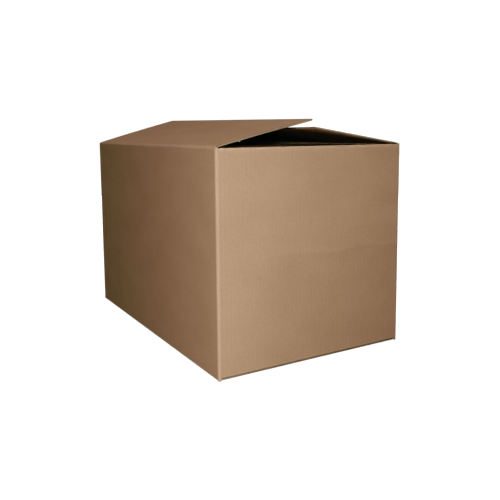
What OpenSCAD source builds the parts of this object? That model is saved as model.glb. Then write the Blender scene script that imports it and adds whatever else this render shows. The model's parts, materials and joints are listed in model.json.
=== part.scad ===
// Regular slotted carton of single-wall corrugated board, unsealed, with its
// two long top flaps sprung a little open. Millimetres. The origin is the
// middle of the bottom, +X runs across the carton from the left flap's crease
// to the right flap's crease, +Y runs along its length and +Z is up.
// The flutes run from each flap, down its panel and on into the flap below.

/* [Carton] */
// Outside length, along Y
carton_length = 480; // [360:5:640]
// Outside width, along X, which is also the reach of two long flaps
carton_width = 310; // [240:5:340]
// Outside height with the top closed
carton_height = 304; // [150:2:500]

/* [Board] */
// Thickness of the whole board
board = 3; // [2.6:0.1:4]
// Thickness of the paper facing on each side
liner = 0.35; // [0.25:0.05:0.5]
// Thickness of the fluted paper between the facings
medium = 0.3; // [0.2:0.05:0.4]
// Width of one whole flute, from crest to crest
flute_width = 6.4; // [5.6:0.1:8]
// Width of the flat at the top of a flute
flute_crest = 1.1; // [0.6:0.1:1.4]

/* [Folds] */
// Radius outside a fold
fold_radius = 3.5; // [2:0.1:4.5]
// Radius of the bead of crushed board inside a fold
bead_radius = 1.2; // [0.6:0.1:1.6]
// Width of the crushed crease beside a fold, where the flutes end
crease_width = 6; // [5:0.5:10]
// Free space left between creased faces that close on each other
crease_gap = 0.3; // [0.2:0.05:0.5]

/* [Slots] */
// Width of the slot cut between neighbouring flaps
slot_width = 5; // [3:0.5:8]
// How far a slot runs on past the crease of the end flaps
slot_overrun = 1.5; // [0.5:0.5:4]
// Gap left between the two long flaps where they meet
seam_gap = 1; // [0.5:0.5:3]

/* [Glue tab] */
// Width of the tab glued inside the far right corner
tab_width = 35; // [25:1:45]
// Height lost at each end of the tab, from its fold to its free edge
tab_taper = 12; // [4:1:20]
// Space between the tab's ends and the end flaps
tab_clearance = 1.5; // [1:0.5:6]
// Setback of the raw panel edge that covers the tab's fold
joint_setback = 1; // [0.5:0.5:2]

/* [Pose] */
// Angle that the left flap stands open above closed
left_open = 13; // [1:0.5:80]
// Angle that the right flap stands open above closed
right_open = 8.5; // [1:0.5:80]

/* [Hidden] */
$fn = 48;
kraft = [0.70, 0.56, 0.42];
// Extra reach of a cutting shape past the face that it cuts
over = 1;

// The long flaps meet in the middle, and all flaps end on the blank's straight edge
long_flap_depth = (carton_width - seam_gap) / 2;
end_flap_depth = long_flap_depth + board;

// A slot is centred on the corner fold, so both flaps stand back from the corner
slot_setback = (board + slot_width) / 2;
long_flap_length = carton_length - 2 * slot_setback;
end_flap_length = carton_width - 2 * slot_setback;

// The end flaps fold in first, so they lie one board inside the long ones
end_floor = board;
end_top = carton_height - board - crease_gap;
slot_floor = end_floor + slot_overrun;
slot_top = end_top - slot_overrun;

// The flute is a wave of straight flanks and flat crests between the facings
flute_height = board - 2 * liner - medium;
flank_run = flute_width / 2 - flute_crest - medium;
flank_wall = medium * sqrt(1 + pow(flank_run / flute_height, 2));
hollow_mouth = flute_width - flute_crest - 2 * flank_wall;

// One hollow of the fluted board, wide along its facing and narrow at the crest.
// Face is 1 for a hollow under the outer facing and -1 for one on the inner.
function flute_hollow(x, face) =
    let (
        base = face > 0 ? -liner : liner - board,
        crest = base - face * flute_height
    )
    [
        [x - hollow_mouth / 2, base],
        [x + hollow_mouth / 2, base],
        [x + flute_crest / 2, crest],
        [x - flute_crest / 2, crest]
    ];

// Section across the flutes of a flap, its outer facing along the X axis
module fluted_section(length) {
    flutes = floor(length / flute_width) - 1;
    hollows = [
        for (i = [0 : 2 * flutes])
            flute_hollow((i - flutes) * flute_width / 2, i % 2 == 0 ? 1 : -1)
    ];
    outline = [
        [-length / 2, 0],
        [length / 2, 0],
        [length / 2, -board],
        [-length / 2, -board]
    ];
    corners = len(outline);
    polygon(
        points = [each outline, for (hollow = hollows) each hollow],
        paths = [for (i = [0 : len(hollows)]) [for (k = [0 : corners - 1]) corners * i + k]]
    );
}

// Waste outside a rounded corner that sits at the origin, the sheet towards +X
// and +Y. Past is how far it runs on beyond the Y side of the corner.
module corner_waste(past = over) {
    difference() {
        translate([-over, -past])
            square([fold_radius + over, fold_radius + past]);
        translate([fold_radius, fold_radius])
            circle(r = fold_radius);
    }
}

// Extrude an X, Z profile along Y, centred
module along_y(length) {
    rotate([90, 0, 0])
        linear_extrude(height = length, center = true)
            children();
}

// Extrude a Y, Z profile along X, centred
module along_x(length) {
    rotate([90, 0, 90])
        linear_extrude(height = length, center = true)
            children();
}

// Long top flap, lying closed, its crease on the Y axis and its outer face at Z 0.
// The crease is mitred, so the flap can swing from flat to right round outside.
module long_flap() {
    along_y(long_flap_length)
        difference() {
            polygon([
                [0, 0],
                [crease_width, 0],
                [crease_width, -board],
                [board, -board]
            ]);
            mirror([0, 1])
                corner_waste();
        }
    translate([crease_width, 0, 0])
        rotate([90, 0, 90])
            linear_extrude(height = long_flap_depth - crease_width)
                fluted_section(long_flap_length);
}

// Profile of a long side: the glued bottom flap, the panel and its mitred top
module long_side_profile() {
    difference() {
        union() {
            square([board, carton_height]);
            square([long_flap_depth, board]);
            translate([board, board])
                circle(r = bead_radius);
        }
        corner_waste();
        translate([0, carton_height])
            mirror([0, 1])
                corner_waste();
        translate([0, carton_height - crease_gap])
            polygon([
                [-over, over],
                [board + over, -board - over],
                [board + over, over]
            ]);
    }
}

// Profile of an end: the bottom flap, the panel and the crease of the top flap
module end_side_profile() {
    difference() {
        union() {
            translate([0, end_floor])
                square([board, end_top - end_floor]);
            translate([0, end_floor])
                square([end_flap_depth, board]);
            translate([0, end_top - board])
                square([crease_width, board]);
            translate([board, end_floor + board])
                circle(r = bead_radius);
            translate([board, end_top - board])
                circle(r = bead_radius);
        }
        translate([0, end_floor])
            corner_waste();
        translate([0, end_top])
            mirror([0, 1])
                corner_waste();
    }
}

// Cuts that free the flaps from the corners, above and below the slot levels,
// past both ends of a flap of the given length along Y
module slot_cuts(flap_length) {
    reach = carton_length + carton_width;
    for (end = [0, 1])
        mirror([0, end, 0])
            for (level = [slot_top, slot_floor - carton_height])
                translate([-over, flap_length / 2, level])
                    cube([reach, reach, carton_height]);
}

// Left side of the carton, with its glued bottom flap
module long_side() {
    translate([-carton_width / 2, 0, 0])
        difference() {
            along_y(carton_length)
                long_side_profile();
            slot_cuts(long_flap_length);
        }
}

// Near end of the carton, with its glued bottom flap and folded-in top flap
module end_side() {
    translate([0, -carton_length / 2, 0]) {
        difference() {
            along_x(carton_width)
                end_side_profile();
            rotate([0, 0, 90])
                slot_cuts(end_flap_length);
        }
        translate([0, end_flap_depth, end_top])
            rotate([90, 0, 0])
                linear_extrude(height = end_flap_depth - crease_width)
                    fluted_section(end_flap_length);
    }
}

// Beads inside the four upright folds. The last one is the glue tab's fold.
module upright_beads() {
    low = end_floor + board;
    high = end_top - board;
    inner_x = carton_width / 2 - board;
    inner_y = carton_length / 2 - board;
    spots = [
        [-inner_x, -inner_y],
        [inner_x, -inner_y],
        [-inner_x, inner_y],
        [inner_x, inner_y - board]
    ];
    for (spot = spots)
        translate([spot[0], spot[1], low])
            cylinder(r = bead_radius, h = high - low);
}

// Glue tab, folded off the right side and glued inside the far end
module glue_tab() {
    low = end_floor + board + tab_clearance;
    high = end_top - board - tab_clearance;
    fold_x = (carton_width - board) / 2;
    free_x = carton_width / 2 - board - tab_width;
    translate([0, carton_length / 2 - board, 0])
        rotate([90, 0, 0])
            linear_extrude(height = board)
                polygon([
                    [fold_x, low],
                    [fold_x, high],
                    [free_x, high - tab_taper],
                    [free_x, low + tab_taper]
                ]);
}

// Waste outside three upright folds, the fold of the glue tab, and the strip
// past the raw edge of the far end that covers that fold
module upright_waste() {
    half_x = carton_width / 2;
    half_y = carton_length / 2;
    translate([-half_x, -half_y])
        corner_waste();
    translate([half_x, -half_y])
        mirror([1, 0])
            corner_waste();
    translate([-half_x, half_y])
        mirror([0, 1])
            corner_waste();
    translate([half_x, half_y - board])
        rotate(180)
            corner_waste(past = 0);
    translate([half_x - joint_setback, half_y - board])
        square([joint_setback + over, board + over]);
}

module carton() {
    color(kraft)
        difference() {
            union() {
                long_side();
                mirror([1, 0, 0])
                    long_side();
                end_side();
                mirror([0, 1, 0])
                    end_side();
                upright_beads();
                glue_tab();
            }
            translate([0, 0, -over])
                linear_extrude(height = carton_height + 2 * over)
                    upright_waste();
        }
}

module left_top_flap() {
    color(kraft)
        translate([-carton_width / 2, 0, carton_height])
            rotate([0, -left_open, 0])
                long_flap();
}

module right_top_flap() {
    color(kraft)
        translate([carton_width / 2, 0, carton_height])
            mirror([1, 0, 0])
                rotate([0, -right_open, 0])
                    long_flap();
}

carton();
left_top_flap();
right_top_flap();
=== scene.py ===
import json
import math

import bmesh
import bpy
import numpy as np
from mathutils import Matrix, Vector


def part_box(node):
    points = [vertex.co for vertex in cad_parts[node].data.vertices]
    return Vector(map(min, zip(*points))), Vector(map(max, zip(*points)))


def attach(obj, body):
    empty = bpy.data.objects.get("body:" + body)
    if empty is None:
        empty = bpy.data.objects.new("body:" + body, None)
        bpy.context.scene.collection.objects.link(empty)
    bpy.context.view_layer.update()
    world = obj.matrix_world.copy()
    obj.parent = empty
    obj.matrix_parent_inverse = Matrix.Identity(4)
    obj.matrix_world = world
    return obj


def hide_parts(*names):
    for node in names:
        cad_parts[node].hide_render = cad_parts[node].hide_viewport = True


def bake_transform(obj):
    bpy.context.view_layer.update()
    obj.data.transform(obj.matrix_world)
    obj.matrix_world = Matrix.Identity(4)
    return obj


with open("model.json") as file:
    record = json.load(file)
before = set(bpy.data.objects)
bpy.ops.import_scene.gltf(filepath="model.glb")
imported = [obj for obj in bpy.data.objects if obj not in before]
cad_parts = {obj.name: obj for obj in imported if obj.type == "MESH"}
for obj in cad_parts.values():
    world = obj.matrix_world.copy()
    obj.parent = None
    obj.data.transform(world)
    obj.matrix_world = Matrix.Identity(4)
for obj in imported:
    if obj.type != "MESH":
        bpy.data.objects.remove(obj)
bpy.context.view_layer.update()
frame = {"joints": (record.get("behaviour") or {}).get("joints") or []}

# The fluted paper
# A thin brown paper, rolled into waves and glued between the board's two
# facings. It shows where a flap's free edge is cut across the waves.
BOARD = 0.003
FACING_PAPER = 0.00035
FLUTE_PAPER = 0.0003
FLUTE_WIDTH = 0.0064
FLUTE_STEPS = 12
MILLIMETRES = 1000
FULL_TURN = 2 * math.pi
PAPER_GLOSS = 0.25
SEED_SHIFT = Vector((37, 53, 0))
FLUTE_DULL = (0.30, 0.20, 0.125, 1)
FLUTE_PALE = (0.47, 0.33, 0.215, 1)
FLUTE_FIBRE = (0.22, 0.14, 0.085, 1)


class Field:
    """A socket of a node tree, to be used in arithmetic."""

    def __init__(self, tree, socket):
        self.tree = tree
        self.socket = socket

    def math(self, operation, *others):
        inputs = dict(enumerate((self, *others)))
        return self.tree.node("ShaderNodeMath", {"operation": operation}, inputs)

    def out(self, name):
        return Field(self.tree, self.socket.node.outputs[name])

    def __add__(self, other):
        return self.math("ADD", other)

    def __radd__(self, other):
        return self.math("ADD", other)

    def __sub__(self, other):
        return self.math("SUBTRACT", other)

    def __rsub__(self, other):
        return (self * -1).math("ADD", other)

    def __mul__(self, other):
        return self.math("MULTIPLY", other)

    def __rmul__(self, other):
        return self.math("MULTIPLY", other)

    def __truediv__(self, other):
        return self.math("DIVIDE", other)

    def between(self, low, high):
        """0 below low, 1 above high and smooth between them."""
        settings = {"interpolation_type": "SMOOTHSTEP"}
        return self.tree.node("ShaderNodeMapRange", settings, {0: self, 1: low, 2: high})


class Tree:
    """A node tree that is built by expressions."""

    def __init__(self, tree):
        self.tree = tree
        tree.nodes.clear()

    def node(self, kind, settings=None, inputs=None, output=0):
        """Adds a node, its settings first and then the values or links of its sockets."""
        made = self.tree.nodes.new(kind)
        for name, value in (settings or {}).items():
            setattr(made, name, value)
        for name, value in (inputs or {}).items():
            if isinstance(value, Field):
                self.tree.links.new(value.socket, made.inputs[name])
            else:
                made.inputs[name].default_value = value
        return Field(self, made.outputs[output]) if made.outputs else made

    def mix(self, share, first, second):
        """A colour that lies the given share of the way from the first to the second."""
        settings = {"data_type": "RGBA"}
        return self.node("ShaderNodeMix", settings, {0: share, 6: first, 7: second}, 2)

    def worn(self, name):
        """A share that the mesh keeps at its points, for fold wear with its painted highlight and
        for edge darkening.
        """
        return self.node("ShaderNodeAttribute", {"attribute_name": name}, None, 2)


def paper_tree(name):
    """A new material, its tree and the place on the flat sheet in millimetres."""
    finish = bpy.data.materials.new(name)
    finish.use_nodes = True
    tree = Tree(finish.node_tree)
    sheet = tree.node("ShaderNodeUVMap", {"uv_map": "sheet"})
    scale = (MILLIMETRES, MILLIMETRES, MILLIMETRES)
    place = tree.node("ShaderNodeVectorMath", {"operation": "MULTIPLY"}, {0: sheet, 1: scale})
    return finish, tree, place


def grain(place, length, width, angle=0, detail=2, roughness=0.5, seed=0):
    """Noise whose marks have a length and width in millimetres and a slant in degrees."""
    turned = place.tree.node("ShaderNodeMapping", {"vector_type": "TEXTURE"}, {
        "Vector": place, "Location": SEED_SHIFT * seed,
        "Rotation": (0, 0, math.radians(angle)), "Scale": (length, width, 1)})
    return place.tree.node("ShaderNodeTexNoise", {"noise_dimensions": "2D"}, {
        "Vector": turned, "Scale": 1, "Detail": detail, "Roughness": roughness})


def paper_shader(tree, colour, roughness, height):
    """Matt paper, its height given in millimetres."""
    bump = tree.node("ShaderNodeBump", None, {
        "Height": height, "Distance": 1 / MILLIMETRES, "Strength": 1})
    shader = tree.node("ShaderNodeBsdfPrincipled", None, {
        "Base Color": colour, "Roughness": roughness, "Normal": bump,
        "Specular IOR Level": PAPER_GLOSS})
    tree.node("ShaderNodeOutputMaterial", None, {"Surface": shader})


def flute_finish():
    """Paper thinner and duller than the facings, with short fibres."""
    finish, tree, place = paper_tree("fluted_paper")
    mottle = grain(place, length=4, width=2.5, detail=3, roughness=0.6, seed=21)
    fibres = grain(place, length=2.4, width=0.25, angle=-6, seed=22)
    colour = tree.mix(mottle, FLUTE_DULL, FLUTE_PALE)
    colour = tree.mix(fibres.between(0.55, 0.75) * 0.3, colour, FLUTE_FIBRE)
    paper_shader(tree, colour, 0.84 + mottle * 0.1, mottle * 0.04 + fibres * 0.03)
    return finish


def flute_roller(finish):
    """Node tree that rolls a flat paper of the given size into waves, and its sockets."""
    group = bpy.data.node_groups.new("flute_roller", "GeometryNodeTree")
    sockets = {}
    for name in ("Width", "Depth", "Flute width", "Flute height", "Paper"):
        sockets[name] = group.interface.new_socket(
            name=name, in_out="INPUT", socket_type="NodeSocketFloat").identifier
    group.interface.new_socket(
        name="Geometry", in_out="OUTPUT", socket_type="NodeSocketGeometry")
    tree = Tree(group)
    given = tree.node("NodeGroupInput")
    width, depth, flute = (given.out(name) for name in ("Width", "Depth", "Flute width"))
    rise, paper = given.out("Flute height") / 2, given.out("Paper")
    stations = (width / flute * FLUTE_STEPS).math("ROUND") + 1
    size = tree.node("ShaderNodeCombineXYZ", None, {0: width, 1: depth, 2: paper})
    slab = tree.node(
        "GeometryNodeMeshCube", None, {"Size": size, "Vertices X": stations, "Vertices Y": 2})
    flat = tree.node("ShaderNodeSeparateXYZ", None, {0: tree.node("GeometryNodeInputPosition")})
    x, y, z = flat.out("X"), flat.out("Y"), flat.out("Z")
    angle = x * FULL_TURN / flute
    slope = angle.math("COSINE") * rise * FULL_TURN / flute
    stretch = (slope * slope + 1).math("SQRT")
    place = tree.node("ShaderNodeCombineXYZ", None, {
        0: x - z * slope / stretch, 1: y, 2: angle.math("SINE") * rise + z / stretch})
    rolled = tree.node("GeometryNodeSetPosition", None, {"Geometry": slab, "Position": place})
    real = tree.node("GeometryNodeRealizeInstances", None, {"Geometry": rolled})
    done = tree.node("GeometryNodeSetMaterial", None, {"Geometry": real, "Material": finish})
    tree.node("NodeGroupOutput", None, {"Geometry": done})
    return group, sockets


flute_paper = flute_finish()
roller, roller_sockets = flute_roller(flute_paper)


def rolled_paper(width, depth):
    """Points and faces of a fluted paper that lies flat, centred, its waves along X."""
    sizes = {
        "Width": width, "Depth": depth, "Flute width": FLUTE_WIDTH,
        "Flute height": BOARD - 2 * FACING_PAPER - FLUTE_PAPER, "Paper": FLUTE_PAPER,
    }
    holder = bpy.data.objects.new("roll", bpy.data.meshes.new("roll"))
    bpy.context.scene.collection.objects.link(holder)
    modifier = holder.modifiers.new("flutes", "NODES")
    modifier.node_group = roller
    for name, size in sizes.items():
        modifier[roller_sockets[name]] = size
    holder.update_tag()
    graph = bpy.context.evaluated_depsgraph_get()
    rolled = bpy.data.meshes.new_from_object(holder.evaluated_get(graph))
    points = np.array([vertex.co for vertex in rolled.vertices])
    faces = [list(polygon.vertices) for polygon in rolled.polygons]
    flat_mesh = holder.data
    bpy.data.objects.remove(holder)
    bpy.data.meshes.remove(flat_mesh)
    bpy.data.meshes.remove(rolled)
    return points, faces


# The folded blank
# One sheet of single-wall kraft board, slotted, creased and folded up into the
# carton. It is glued at the far right corner and at the bottom, and its two top
# end flaps are tucked in.
carton_low, carton_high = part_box("carton")
creases = {joint["child"]: joint for joint in frame["joints"]}
LENGTH = carton_high.y - carton_low.y
WIDTH = carton_high.x - carton_low.x
HEIGHT = creases["left_flap"]["pos_m"][2]
RIGHT_ANGLE = math.pi / 2
FOLD_RADIUS = 0.0035
CREASE_GAP = 0.0003
SEAM_GAP = 0.001
SLOT_SETBACK = 0.004
SLOT_OVERRUN = 0.0015
END_FLOOR = BOARD
END_TOP = HEIGHT - BOARD - CREASE_GAP
SLOT_FLOOR = END_FLOOR + SLOT_OVERRUN
SLOT_TOP = END_TOP - SLOT_OVERRUN
LONG_FLAP_DEPTH = (WIDTH - SEAM_GAP) / 2
END_FLAP_DEPTH = LONG_FLAP_DEPTH + BOARD
# The bead of crushed board inside a fold
BEAD_HEIGHT = 0.0011
BEAD_REACH = 0.0016
# The ridge that a top end fold pushes up, and the run from the slots to its full height
RIDGE_HEIGHT = 0.0025
RIDGE_REACH = 0.0017
RIDGE_SHIFT = 0.0005
RIDGE_RUN = 0.0015
# How far the middle of a panel bows in
PANEL_BOW = 0.0005
SAME_PLACE = 1e-7


def smooth(share):
    """0 up to 0, 1 from 1 on and a smooth step between them."""
    share = np.clip(share, 0, 1)
    return share * share * (3 - 2 * share)


def folded(past, depth, turn, ridge=0, radius=FOLD_RADIUS):
    """Inward reach and rise of a place that lies past a crease, where the sheet turns in."""
    reach = radius * np.tan(turn / 2)
    bend = turn * np.clip((past + reach) / (2 * reach), 0, 1)
    before = np.minimum(past + reach, 0)
    after = np.maximum(past - reach, 0)
    bead = (depth / BOARD) ** 2 * BEAD_HEIGHT * np.exp(-((past / BEAD_REACH) ** 2))
    inward = radius - (radius - depth) * np.cos(bend)
    rise = before - reach + (radius - depth) * np.sin(bend)
    inward = inward + after * np.sin(turn) + bead * np.cos(turn / 2)
    rise = rise + after * np.cos(turn) - bead * np.sin(turn / 2)
    rise = rise + ridge * np.exp(-(((past + RIDGE_SHIFT) / RIDGE_REACH) ** 2))
    return inward, rise


class Panel:
    """A side of the carton, from its first upright corner to its last, going clockwise.

    A place on it is a distance across it, a height along the flutes that runs on into
    its flaps as if they stood straight, and a depth into the board.
    """

    def __init__(self, start, along, reach, floor, top, flap_depth, offset):
        self.start = np.array(start)
        self.along = np.array(along)
        self.inward = np.array([along[1], -along[0]])
        self.reach = reach
        self.floor = floor
        self.top = top
        self.flap_depth = flap_depth
        self.offset = offset
        self.top_turn = lambda across: np.full_like(across, RIGHT_ANGLE)
        self.top_radius = FOLD_RADIUS
        self.ridge = 0
        self.flap_bow = 0

    def point(self, across, inward, height):
        flat = self.start + across[..., None] * self.along + inward[..., None] * self.inward
        return np.concatenate([flat, height[..., None]], axis=-1)

    def bow(self, across, height):
        across_share = np.clip(across / self.reach, 0, 1)
        height_share = np.clip((height - self.floor) / (self.top - self.floor), 0, 1)
        return PANEL_BOW * np.sin(math.pi * across_share) * np.sin(math.pi * height_share)

    def past_crease(self, height):
        return np.maximum(height - self.top, self.floor - height)

    def from_corner(self, across):
        return np.minimum(across, self.reach - across)

    def place(self, across, height, depth):
        """Where a place on the panel or on its flaps lies once they are folded."""
        past = self.past_crease(height)
        upper = height > (self.floor + self.top) / 2
        turn = np.where(upper, self.top_turn(across), RIGHT_ANGLE)
        ridge = self.ridge * smooth((self.from_corner(across) - SLOT_SETBACK) / RIDGE_RUN)
        radius = np.where(upper, self.top_radius, FOLD_RADIUS)
        inward, rise = folded(past, depth, turn, np.where(upper, ridge, 0), radius)
        flap_share = np.clip(past / self.flap_depth, 0, 1)
        bow = np.where(upper, self.flap_bow * np.sin(math.pi * flap_share), 0)
        inward, rise = inward - bow * np.cos(turn), rise + bow * np.sin(turn)
        level = np.where(upper, self.top + rise, self.floor - rise)
        return self.point(across, inward + self.bow(across, height), level)

    def corner(self, after):
        """The same round the upright fold between this panel and the one after it."""
        def place(past, height, depth):
            inward, rise = folded(past, depth, RIGHT_ANGLE)
            inward = inward + self.bow(self.reach + past, height)
            rise = rise - after.bow(past, height)
            return self.point(self.reach + rise, inward, height)
        return place

    def tab(self, past, height, depth):
        """The same on the glue tab, past the fold that stands a board inside the corner."""
        inward, rise = folded(past, depth, RIGHT_ANGLE)
        inward = inward + self.bow(BOARD - past, height)
        return self.point(BOARD - rise, inward, height)


half_width = WIDTH / 2
half_length = LENGTH / 2
right_side = Panel(
    (half_width, half_length), (0, -1), LENGTH, 0, HEIGHT, LONG_FLAP_DEPTH, 0)
near_end = Panel(
    (half_width, -half_length), (-1, 0), WIDTH, END_FLOOR, END_TOP, END_FLAP_DEPTH, LENGTH)
left_side = Panel(
    (-half_width, -half_length), (0, 1), LENGTH, 0, HEIGHT, LONG_FLAP_DEPTH, LENGTH + WIDTH)
far_end = Panel(
    (-half_width, half_length), (1, 0), WIDTH, END_FLOOR, END_TOP, END_FLAP_DEPTH,
    2 * LENGTH + WIDTH)
near_end.ridge = RIDGE_HEIGHT
far_end.ridge = RIDGE_HEIGHT

# The valleys that the scoring wheels press beside a crease
SCORE_OFFSET = 0.0045
SCORE_REACH = 0.0011
INNER_SCORE = 0.0004
OUTER_SCORE = 0.00012
# The crush that the slotting knife leaves along a cut edge, mostly on the inside
KNIFE_CRUSH = 0.0012
KNIFE_REACH = 0.003
KNIFE_OUTER_SHARE = 0.25
# Where the sheet is crushed flat: beside a crease and along a slot
CRUSHED_REACH = 0.006
SLOT_RIM = 0.0012
# The gap between the crushed board beside a crease and the fluted paper
FLUTE_STANDOFF = 0.001
# The strip beside a flap's edges that is coloured darker
DARK_EDGE_REACH = 0.004
# How far the inner side's paper pattern lies from the outer side's
INNER_PAPER_SHIFT = 4.0
MICRONS = 1e6
NO_LENGTH = 1e-9
SHARP_EDGE = math.radians(40)
FACE, CUT, FLUTE = range(3)


def everywhere(across, height):
    return np.ones(across.shape, bool)


def nowhere(across, height):
    return np.zeros(across.shape, bool)


class Facing:
    """One paper facing of the board, gathered from patches that share their edges."""

    def __init__(self, is_outer):
        self.is_outer = is_outer
        self.index = {}
        self.points = []
        self.faces = []

    def depths(self, past, hollow, crush):
        """Depth of the facing's outward and inward faces below the board's outside."""
        valley = np.exp(-(((np.abs(past) - SCORE_OFFSET) / SCORE_REACH) ** 2))
        outer_crush = crush * KNIFE_OUTER_SHARE
        inner_crush = crush - outer_crush
        if self.is_outer:
            return OUTER_SCORE * valley + outer_crush, FACING_PAPER + outer_crush
        outward = np.where(hollow, BOARD - FACING_PAPER - inner_crush, FACING_PAPER + outer_crush)
        return outward, BOARD - INNER_SCORE * valley - inner_crush

    def patch(
            self, across, heights, place, past_fold, offset, zone=0, hollow=nowhere,
            shared=everywhere, crush=nowhere, darkened_edge=nowhere):
        """Adds a grid of cells. Places that aren't shared belong to the patch's own zone."""
        a, h = np.meshgrid(across, heights)
        past = past_fold(a, h)
        outward, inward = self.depths(past, hollow(a, h), crush(a, h) * KNIFE_CRUSH)
        outer, inner = place(a, h, outward), place(a, h, inward)
        # Share near a fold, for its painted highlight and its wear
        fold_wear = np.exp(-((past / FOLD_RADIUS) ** 2))
        edge_wear = darkened_edge(a, h)
        own = np.where(shared(a, h), 0, zone)
        ids = np.zeros(a.shape, int)
        for spot in np.ndindex(a.shape):
            sheet = (offset + a[spot], h[spot])
            key = (own[spot], round(sheet[0] * MICRONS), round(sheet[1] * MICRONS))
            if key not in self.index:
                wear = (fold_wear[spot], edge_wear[spot])
                self.index[key] = len(self.points)
                self.points.append((outer[spot], inner[spot], sheet, wear))
            ids[spot] = self.index[key]
        for row, column in np.ndindex(a.shape[0] - 1, a.shape[1] - 1):
            self.faces.append((
                ids[row + 1, column], ids[row + 1, column + 1],
                ids[row, column + 1], ids[row, column],
            ))


class BoardMesh:
    """Vertices, faces, sheet places and finishes of a piece of board."""

    def __init__(self):
        self.vertices = []
        self.wear = []
        self.faces = []
        self.sheet = []
        self.finish = []

    def add_face(self, corners, sheet, finish):
        self.faces.append(corners)
        self.sheet += sheet
        self.finish.append(finish)

    def add_facing(self, facing):
        """Closes a facing: its outward face, its inward face and its cut edges."""
        first = len(self.vertices)
        count = len(facing.points)
        outer = [point[0] for point in facing.points]
        inner = [point[1] for point in facing.points]
        sheet = np.array([point[2] for point in facing.points])
        self.vertices += outer + inner
        self.wear += [point[3] for point in facing.points] * 2
        shift = np.array([INNER_PAPER_SHIFT, 0])
        edges = {}
        for corners in facing.faces:
            self.add_face([first + c for c in corners], [sheet[c] for c in corners], FACE)
            under = list(reversed(corners))
            self.add_face(
                [first + count + c for c in under], [sheet[c] + shift for c in under], FACE)
            for i, j in zip(corners, corners[1:] + corners[:1]):
                edges[i, j] = (j, i) not in edges
                if (j, i) in edges:
                    edges[j, i] = False
        for (i, j), is_cut in edges.items():
            if not is_cut:
                continue
            run = sheet[j] - sheet[i]
            side = np.array([run[1], -run[0]]) / max(np.hypot(*run), NO_LENGTH)
            out_i = sheet[i] + side * np.linalg.norm(outer[i] - inner[i])
            out_j = sheet[j] + side * np.linalg.norm(outer[j] - inner[j])
            corners = [first + j, first + i, first + count + i, first + count + j]
            self.add_face(corners, [sheet[j], sheet[i], out_i, out_j], CUT)

    def add_flutes(self, panel, upper):
        """Adds the fluted paper inside a flap, its waves across the panel."""
        inset = SLOT_SETBACK + KNIFE_REACH
        start = CRUSHED_REACH + FLUTE_STANDOFF
        depth_along = panel.flap_depth - start
        flat, faces = rolled_paper(panel.reach - 2 * inset, depth_along)
        across = panel.reach / 2 + flat[:, 0]
        past = start + depth_along / 2 + flat[:, 1]
        height = panel.top + past if upper else panel.floor - past
        sheet = np.stack([panel.offset + across, height], axis=-1)
        if not upper:
            faces = [face[::-1] for face in faces]
        first = len(self.vertices)
        self.vertices += list(panel.place(across, height, BOARD / 2 - flat[:, 2]))
        self.wear += [(0, 0)] * len(flat)
        for face in faces:
            self.add_face([first + c for c in face], [sheet[c] for c in face], FLUTE)

    def make(self, piece_name):
        mesh = bpy.data.meshes.new(piece_name)
        mesh.from_pydata([tuple(v) for v in self.vertices], [], self.faces)
        layer = mesh.uv_layers.new(name="sheet")
        layer.data.foreach_set("uv", np.array(self.sheet, np.float32).ravel())
        for name, values in zip(("fold_wear", "edge_wear"), np.array(self.wear, np.float32).T):
            wear = mesh.attributes.new(name, "FLOAT", "POINT")
            wear.data.foreach_set("value", np.ascontiguousarray(values))
        for finish in (face_paper, cut_paper, flute_paper):
            mesh.materials.append(finish)
        mesh.polygons.foreach_set("material_index", self.finish)
        mesh.shade_smooth()
        mesh.set_sharp_from_angle(angle=SHARP_EDGE)
        piece = bpy.data.objects.new(piece_name, mesh)
        bpy.context.scene.collection.objects.link(piece)
        return piece


def steps(first, *stops):
    """Values from the first through each stop, given as the spacing and then the stop."""
    values = [first]
    for spacing, stop in zip(stops[::2], stops[1::2]):
        count = max(1, round((stop - values[-1]) / spacing))
        values += list(np.linspace(values[-1], stop, count + 1)[1:])
    return np.array(values)


def between(values, low, high):
    """The values from low to high, both included."""
    return values[(values > low - SAME_PLACE) & (values < high + SAME_PLACE)]


# Spacings of the mesh's rows and columns, closest at folds and cut edges. In the
# calls of steps below, each spacing stands before the place that it runs up to.
FINE = 0.0005
EDGE = 0.0006
STRIP = 0.0009
FOLD = 0.0013
MEDIUM = 0.0015
COARSE = 0.004
FLAT = 0.016
ARC = FOLD_RADIUS / 4
# Heights above the floor and below the top, and reaches past a crease, where they widen
FLOOR_ROWS = (0.0095, 0.014, 0.026)
TOP_ROWS = (0.0095, 0.016, 0.028)
FLAP_ROWS = (0.0065, 0.011, 0.023, 0.15)
FLAP_RIM = 0.004
COLUMN_RIM = 0.02
# The ends of the strips that stay standing in the corners, between the slots
STRIP_FLOOR = 0.0008
STRIP_TOP = HEIGHT - 0.0012
# The glue tab on the right side, and the raw edge of the far end that covers its fold
TAB_WIDTH = 0.035
TAB_TAPER = 0.012
TAB_CLEARANCE = 0.0015
TAB_LOW = END_FLOOR + BOARD + TAB_CLEARANCE
TAB_HIGH = END_TOP - BOARD - TAB_CLEARANCE
TAB_REACH = TAB_WIDTH + BOARD
TAB_FOLD = BOARD + FOLD_RADIUS
TAB_BEND = 0.011
TAB_FINE = 0.002
TAB_COARSE = 0.009
JOINT_SETBACK = 0.001
# The run over which the knife's crush sets in past a crease
CRUSH_RUN = 0.005
CRUSH_AT_CREASE = 0.4

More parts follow.
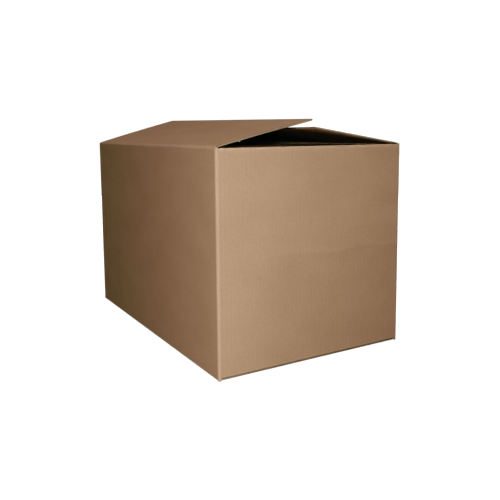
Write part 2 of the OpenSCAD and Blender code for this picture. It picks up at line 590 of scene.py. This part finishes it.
WALL_ROWS = steps(
    STRIP_FLOOR, STRIP, FOLD_RADIUS, FINE, SLOT_FLOOR, FINE, END_FLOOR + FOLD_RADIUS,
    FINE, TAB_LOW, FINE, FLOOR_ROWS[0], MEDIUM, FLOOR_ROWS[1], COARSE, FLOOR_ROWS[2],
    FLAT, HEIGHT - TOP_ROWS[2], COARSE, HEIGHT - TOP_ROWS[1], MEDIUM, HEIGHT - TOP_ROWS[0],
    FINE, TAB_HIGH, FINE, END_TOP - FOLD_RADIUS, FINE, SLOT_TOP, STRIP, STRIP_TOP)
CORNER_COLUMNS = steps(
    -SLOT_SETBACK, FINE, -FOLD_RADIUS, ARC, FOLD_RADIUS, FINE, SLOT_SETBACK)
FLAP_PAST = steps(
    SLOT_TOP - HEIGHT, FINE, -FOLD_RADIUS, ARC, FOLD_RADIUS, FINE, FLAP_ROWS[0],
    MEDIUM, FLAP_ROWS[1], COARSE, FLAP_ROWS[2], FLAT, FLAP_ROWS[3])
TAB_PAST = steps(
    -FOLD_RADIUS, ARC, FOLD_RADIUS, TAB_FINE, TAB_BEND, TAB_COARSE, TAB_REACH)


def columns_of(panel):
    """Columns of a panel between its slots, closest at the raw edges of its flaps."""
    near = SLOT_SETBACK
    far = panel.reach - SLOT_SETBACK
    return steps(
        near, EDGE, near + SLOT_RIM, FOLD, TAB_FOLD, COARSE, COLUMN_RIM,
        FLAT, panel.reach - COLUMN_RIM, COARSE, panel.reach - TAB_FOLD,
        FOLD, far - SLOT_RIM, EDGE, far)


def flap_patch(facing, panel, upper, zone, first=-FOLD_RADIUS):
    """Adds a flap and its crease to a facing, hollow between its crushed edges."""
    pasts = between(FLAP_PAST, first, panel.flap_depth - FLAP_RIM)
    pasts = np.append(pasts, panel.flap_depth)
    heights = panel.top + pasts if upper else panel.floor - pasts[::-1]

    def past_crease(a, h):
        return panel.past_crease(h)

    def from_slot(a):
        return panel.from_corner(a) - SLOT_SETBACK

    def hollow(a, h):
        return (past_crease(a, h) > CRUSHED_REACH) & (from_slot(a) > SLOT_RIM / 2)

    def shared(a, h):
        return past_crease(a, h) < first + SAME_PLACE

    def crush(a, h):
        onset = smooth(past_crease(a, h) / CRUSH_RUN + CRUSH_AT_CREASE)
        return (1 - smooth(from_slot(a) / KNIFE_REACH)) * onset

    def darkened_edge(a, h):
        edge = np.minimum(from_slot(a), panel.flap_depth - past_crease(a, h))
        return np.clip(1 - edge / DARK_EDGE_REACH, 0, 1) * (past_crease(a, h) > FOLD_RADIUS)

    facing.patch(
        columns_of(panel), heights, panel.place, past_crease, panel.offset, zone, hollow,
        shared, crush, darkened_edge)


def wall_patch(facing, panel, across, low, high):
    """Adds the part of a panel that lies across and between two heights."""
    facing.patch(
        across, between(WALL_ROWS, low, high), panel.place,
        lambda a, h: panel.past_crease(h), panel.offset)


def tab_patch(facing, zone):
    """Adds the glue tab, whose ends slope in towards its free edge."""
    def past_fold(a, h):
        return BOARD - a

    def place(a, h, depth):
        past = past_fold(a, h)
        taper = TAB_TAPER * np.clip((past - FOLD_RADIUS) / (TAB_REACH - FOLD_RADIUS), 0, 1)
        share = (h - TAB_LOW) / (TAB_HIGH - TAB_LOW)
        return right_side.tab(past, h + taper * (1 - 2 * share), depth)

    def shared(a, h):
        return a > TAB_FOLD - SAME_PLACE

    facing.patch(
        BOARD - TAB_PAST[::-1], between(WALL_ROWS, TAB_LOW, TAB_HIGH), place, past_fold,
        right_side.offset, zone, shared=shared)


def blank_facing(is_outer):
    """One facing of the whole blank, but for its two long top flaps."""
    facing = Facing(is_outer)
    long_walls = (FOLD_RADIUS, SLOT_TOP)
    end_walls = (END_FLOOR + FOLD_RADIUS, END_TOP - FOLD_RADIUS)
    zone = 1
    for panel, (low, high) in (
        (right_side, long_walls), (near_end, end_walls),
        (left_side, long_walls), (far_end, end_walls),
    ):
        across = columns_of(panel)
        if panel is right_side:
            beside_tab = between(across, SLOT_SETBACK, TAB_FOLD)
            wall_patch(facing, panel, beside_tab, low, TAB_LOW)
            wall_patch(facing, panel, beside_tab, TAB_HIGH, high)
            across = between(across, TAB_FOLD, panel.reach)
        wall_patch(facing, panel, across, low, high)
        flap_patch(facing, panel, False, zone)
        if panel in (near_end, far_end):
            flap_patch(facing, panel, True, zone + 1)
        zone += 2
    for before, after in ((right_side, near_end), (near_end, left_side), (left_side, far_end)):
        facing.patch(
            CORNER_COLUMNS, between(WALL_ROWS, STRIP_FLOOR, STRIP_TOP), before.corner(after),
            lambda a, h: a, after.offset)
    joint_strip = steps(WIDTH - SLOT_SETBACK, MEDIUM, WIDTH - JOINT_SETBACK)
    wall_patch(facing, far_end, joint_strip, STRIP_FLOOR, STRIP_TOP)
    tab_patch(facing, zone)
    return facing


KRAFT_DARK = (0.415, 0.25, 0.153, 1)
KRAFT_PALE = (0.64, 0.415, 0.285, 1)
DARK_FIBRE = (0.27, 0.155, 0.085, 1)
PALE_FIBRE = (0.68, 0.50, 0.34, 1)
BARK_FLECK = (0.16, 0.085, 0.045, 1)
# Lighter colour for rubbed folds and for the painted highlight along every fold
RUBBED_AND_LIT = (0.70, 0.50, 0.36, 1)
# Darker colour for the strip along a flap's cut edges
DARK_EDGE = (0.22, 0.13, 0.075, 1)
# Black for the painted soft shadow on the lower part of the near end
PAINTED_SHADOW = (0, 0, 0, 1)
# Cut edge colours: torn fibres, painted darker for the shade in the flute hollows
CUT_DARK = (0.24, 0.175, 0.12, 1)
CUT_PALE = (0.43, 0.34, 0.25, 1)
CUT_FUZZ = (0.17, 0.115, 0.075, 1)
# Slants in degrees of the crossing fibres, each with its seed
FIBRE_SLANTS = ((-14, 5), (19, 6), (-37, 7))
FLECKS_PER_MM = 0.45
# The painted soft shadow on the near end, in millimetres: its wavering top, and where it
# fades out to the left
SHADOW_TOP = (162, 166)
SHADOW_WAVER = 24
SHADOW_END = (190, 270)


def painted_lower_shadow(place, across, up):
    """Share of a painted soft shadow over the lower part of the near end."""
    along = across - near_end.offset * MILLIMETRES
    waver = grain(place, length=130, width=400, detail=1, seed=31) * SHADOW_WAVER
    below = 1 - (up + waver).between(*SHADOW_TOP)
    return below * along.between(-1, 1) * (1 - along.between(*SHADOW_END))


def kraft_paper():
    """Brown facing with fibres across the flutes, which show faintly through it."""
    finish, tree, place = paper_tree("kraft_paper")
    cloud = grain(place, length=70, width=45, detail=4, roughness=0.55, seed=1)
    mottle = grain(place, length=5, width=3.5, detail=3, roughness=0.6, seed=2)
    fine = grain(place, length=0.9, width=0.5, roughness=0.6, seed=3)
    fibres = grain(place, length=3.2, width=0.22, angle=3, seed=4)
    for angle, seed in FIBRE_SLANTS:
        slanted = grain(place, length=2.4, width=0.2, angle=angle, seed=seed)
        fibres = fibres.math("MAXIMUM", slanted)
    pale_fibres = grain(place, length=3.0, width=0.25, angle=8, seed=8).between(0.6, 0.75)
    cell = tree.node(
        "ShaderNodeTexVoronoi", {"voronoi_dimensions": "2D"},
        {"Vector": place, "Scale": FLECKS_PER_MM})
    chance = tree.node("ShaderNodeSeparateColor", None, {0: cell.out("Color")})
    fleck = (1 - cell.between(0.05, 0.16)) * chance.between(0.86, 0.9)
    spread = tree.node("ShaderNodeSeparateXYZ", None, {0: place})
    across, up = spread.out("X"), spread.out("Y")
    flute = (across * (FULL_TURN / (FLUTE_WIDTH * MILLIMETRES))).math("COSINE")
    wear = tree.worn("fold_wear")
    patchy = grain(place, length=2.5, width=2.5, detail=3, roughness=0.7, seed=9)
    scuff = wear * patchy.between(0.3, 0.75)
    tone = (cloud - 0.5) * 0.3 + (mottle - 0.5) * 0.3 + (fine - 0.5) * 0.45 + flute * 0.03 + 0.5
    colour = tree.mix(tone, KRAFT_DARK, KRAFT_PALE)
    colour = tree.mix(fibres.between(0.66, 0.78) * 0.35, colour, DARK_FIBRE)
    colour = tree.mix(pale_fibres * 0.3, colour, PALE_FIBRE)
    colour = tree.mix(fleck * 0.55, colour, BARK_FLECK)
    # Every fold is lighter: a painted highlight along the fold, with patches of real rubbing on
    # it
    colour = tree.mix(wear * 0.12 + scuff * 0.3, colour, RUBBED_AND_LIT)
    # A flap's face is darker along its cut edges
    colour = tree.mix(tree.worn("edge_wear") * 0.45, colour, DARK_EDGE)
    # Painted soft shadow: the lower part of the near end is darkened a little
    colour = tree.mix(painted_lower_shadow(place, across, up) * 0.055, colour, PAINTED_SHADOW)
    roughness = 0.74 + mottle * 0.16 + scuff * 0.08
    height = flute * 0.012 + mottle * 0.05 + fine * 0.02 + fibres * 0.03 + scuff * 0.05
    paper_shader(tree, colour, roughness, height)
    return finish


def cut_fibres_and_shade():
    """Torn fibres where the board was cut, painted darker for the shade in the flute hollows."""
    finish, tree, place = paper_tree("cut_edge")
    ragged = grain(place, length=1.6, width=0.35, detail=4, roughness=0.7, seed=11)
    fuzz = grain(place, length=0.35, width=0.2, detail=3, roughness=0.7, seed=12)
    colour = tree.mix(ragged.between(0.3, 0.7), CUT_DARK, CUT_PALE)
    colour = tree.mix(fuzz.between(0.5, 0.75) * 0.5, colour, CUT_FUZZ)
    paper_shader(tree, colour, 0.88 + fuzz * 0.1, ragged * 0.12 + fuzz * 0.06)
    return finish


face_paper = kraft_paper()
cut_paper = cut_fibres_and_shade()
blank_board = BoardMesh()
blank_board.add_facing(blank_facing(True))
blank_board.add_facing(blank_facing(False))
for panel in (right_side, near_end, left_side, far_end):
    blank_board.add_flutes(panel, False)
    if panel in (near_end, far_end):
        blank_board.add_flutes(panel, True)
blank = blank_board.make("folded_blank")
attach(blank, "carton")
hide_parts("carton")

# The long top flaps
# They are the same sheet as the long sides and bend up from them at the top
# creases. Nothing holds them shut, so they have sprung a little open, the left
# one more than the right and more at its far end than at its near end.
OPEN_RADIUS = 0.005
LEFT_TWIST = math.radians(2.4)
RIGHT_TWIST = math.radians(0.4)
LEFT_BOW = 0.0006


def long_flap(name, panel, body, node, twist, bow):
    """Makes a long top flap with its crease, which curves up from the carton's side into the
    flap.
    """
    opening = math.radians(-creases[body]["range_deg"][0])
    panel.top_turn = lambda across: RIGHT_ANGLE - opening - twist * across / panel.reach
    panel.top_radius = OPEN_RADIUS
    panel.flap_bow = bow
    board = BoardMesh()
    for is_outer in (True, False):
        facing = Facing(is_outer)
        flap_patch(facing, panel, True, 0, SLOT_TOP - HEIGHT)
        board.add_facing(facing)
    board.add_flutes(panel, True)
    piece = board.make(name)
    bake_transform(piece)
    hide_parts(node)


long_flap(
    "left_flap_board", left_side, "left_flap", "left_top_flap", LEFT_TWIST, LEFT_BOW)
long_flap(
    "right_flap_board", right_side, "right_flap", "right_top_flap", RIGHT_TWIST, 0)

# The camera
# It stands off the carton's near left foot, just above the height of the top,
# and looks a little down at both the left side and the near end.
SENSOR = 36
LENS = 44.23
LENS_DROP = 0.092
STAND_OFF = Vector((-0.3512, -0.6765, 0.3225))
TURN = -30.59
DIP = 6.755
ROLL = -0.476

camera_data = bpy.data.cameras.new("camera")
camera_data.sensor_width = SENSOR
camera_data.lens = LENS
camera_data.shift_y = -LENS_DROP
camera = bpy.data.objects.new("camera", camera_data)
bpy.context.scene.collection.objects.link(camera)
camera.location = Vector((-half_width, -half_length, 0)) + STAND_OFF
camera.rotation_mode = "QUATERNION"
camera.rotation_quaternion = (
    Matrix.Rotation(math.radians(TURN), 3, "Z")
    @ Matrix.Rotation(math.radians(90 - DIP), 3, "X")
    @ Matrix.Rotation(math.radians(ROLL), 3, "Z")
).to_quaternion()
bpy.context.scene.camera = camera

# The studio
# A pale floor runs into a white backdrop all round. A small soft flash stands
# just over the camera, a wide soft light hangs over the near end, and weaker
# soft lights fill the far sides.
WHITE = (1, 1, 1, 1)
GREY_PAINT = (0.5, 0.5, 0.5, 1)
FLOOR_RADIUS = 6
FLOOR_SIDES = 96
BACKDROP_RADIUS = 9
BACKDROP_ROUNDS = 4
NEAR_GLOW = 0.93
FAR_GLOW = 1.13
BACKDROP_GLOW = 1.1
# Distances from the carton's middle between which the floor's glow grows
GLOW_FROM = 0.8
GLOW_TO = 2.2
# How far in from the carton's sides the floor under it stops glowing
COVER_INSET = 0.012
COVER_FADE = 0.002


def stage_piece(name, mesh_maker, shader_maker):
    """Adds a piece of the studio that lights the camera's view but not the carton."""
    mesh = bpy.data.meshes.new(name)
    shape = bmesh.new()
    mesh_maker(shape)
    shape.to_mesh(mesh)
    shape.free()
    finish = bpy.data.materials.new(name)
    finish.use_nodes = True
    tree = Tree(finish.node_tree)
    tree.node("ShaderNodeOutputMaterial", None, {"Surface": shader_maker(tree)})
    mesh.materials.append(finish)
    piece = bpy.data.objects.new(name, mesh)
    bpy.context.scene.collection.objects.link(piece)
    piece.visible_diffuse = False
    piece.visible_glossy = False
    return piece


def glow(tree, strength):
    """An even white glow."""
    return tree.node("ShaderNodeEmission", None, {"Color": WHITE, "Strength": strength})


def beneath(distance, half_size):
    """1 beneath the carton and 0 from just inside its side on."""
    edge = half_size - COVER_INSET
    return 1 - distance.math("ABSOLUTE").between(edge - COVER_FADE, edge)


def floor_shader(tree):
    """Grey paint that glows brighter far from the carton and not at all under it."""
    spot = tree.node("ShaderNodeTexCoord", None, None, 3)
    distance = tree.node("ShaderNodeVectorMath", {"operation": "LENGTH"}, {0: spot}, 1)
    far = distance.between(GLOW_FROM, GLOW_TO)
    light = tree.node(
        "ShaderNodeMixShader", None, {0: far, 1: glow(tree, NEAR_GLOW), 2: glow(tree, FAR_GLOW)})
    flat = tree.node("ShaderNodeSeparateXYZ", None, {0: spot})
    covered = beneath(flat.out("X"), half_width) * beneath(flat.out("Y"), half_length)
    light = tree.node("ShaderNodeMixShader", None, {0: covered, 1: light})
    paint = tree.node("ShaderNodeBsdfDiffuse", None, {"Color": GREY_PAINT})
    return tree.node("ShaderNodeAddShader", None, {0: light, 1: paint})


def backdrop_shader(tree):
    """Paper that glows white all round."""
    return glow(tree, BACKDROP_GLOW)


def floor_shape(shape):
    bmesh.ops.create_circle(shape, cap_ends=True, segments=FLOOR_SIDES, radius=FLOOR_RADIUS)


def backdrop_shape(shape):
    bmesh.ops.create_icosphere(shape, subdivisions=BACKDROP_ROUNDS, radius=BACKDROP_RADIUS)


floor = stage_piece("floor", floor_shape, floor_shader)
backdrop = stage_piece("backdrop", backdrop_shape, backdrop_shader)
backdrop.visible_shadow = False


def soft_light(name, place, target, size, power, reflects=False):
    """A round soft light of the given width, turned to its target."""
    data = bpy.data.lights.new(name, "AREA")
    data.shape = "DISK"
    data.size = size
    data.energy = power
    light = bpy.data.objects.new(name, data)
    light.location = place
    light.rotation_mode = "QUATERNION"
    light.rotation_quaternion = (Vector(target) - Vector(place)).to_track_quat("-Z", "Y")
    bpy.context.scene.collection.objects.link(light)
    light.visible_glossy = reflects


MIDDLE = (0, 0, HEIGHT / 2)
TOP = (0, 0, HEIGHT)
LOW_DOWN = (0, 0, 0.05)
FLASH_RISE = Vector((0, 0, 0.06))

soft_light(
    "flash", camera.location + FLASH_RISE, target=MIDDLE, size=0.08, power=4.36, reflects=True)
soft_light("overhead", (-0.2, -0.45, 1.8), target=TOP, size=0.9, power=7.5)
soft_light("left_fill", (-1.4, 0.5, 0.3), target=MIDDLE, size=0.4, power=0.86)
soft_light("low_fill", (-0.5, -0.75, 0.01), target=LOW_DOWN, size=0.1, power=1.87)
soft_light("right_fill", (1.9, 0.5, 0.45), target=MIDDLE, size=1.2, power=36)
soft_light("far_fill", (0.3, 2.1, 0.45), target=MIDDLE, size=1.2, power=34)

AIR_COLOUR = (0.75, 0.9, 1, 1)
AIR_LIGHT = 0.07
world = bpy.data.worlds.new("studio")
world.use_nodes = True
air = world.node_tree.nodes["Background"]
air.inputs["Color"].default_value = AIR_COLOUR
air.inputs["Strength"].default_value = AIR_LIGHT
bpy.context.scene.world = world

# The picture's light in and light out: steeper in the middle for all colours, and
# a dark end of each colour that keeps the carton's inside from turning red
ALL_COLOURS = ((0.05, 0.018), (0.1, 0.071), (0.24, 0.25), (0.34, 0.36), (0.6, 0.604))
RED = ((0.01, 0.0055), (0.03, 0.022), (0.06, 0.05), (0.1, 0.092), (0.18, 0.18))
GREEN = ((0.01, 0.0135), (0.03, 0.035), (0.06, 0.065), (0.12, 0.121), (0.18, 0.18))
BLUE = ((0.01, 0.0125), (0.03, 0.031), (0.06, 0.06), (0.12, 0.12))
UNCHANGED = ((0.25, 0.25), (0.5, 0.5))
GREEN_BLACK = 0.002
BLUE_BLACK = 0.003

view = bpy.context.scene.view_settings
view.view_transform = "Standard"
view.use_curve_mapping = True
red, green, blue, all_colours = view.curve_mapping.curves
for curve, points in (
    (all_colours, ALL_COLOURS), (red, RED + UNCHANGED), (green, GREEN + UNCHANGED),
    (blue, BLUE + UNCHANGED),
):
    for light_in, light_out in points:
        curve.points.new(light_in, light_out)
green.points[0].location.y = GREEN_BLACK
blue.points[0].location.y = BLUE_BLACK
view.curve_mapping.update()
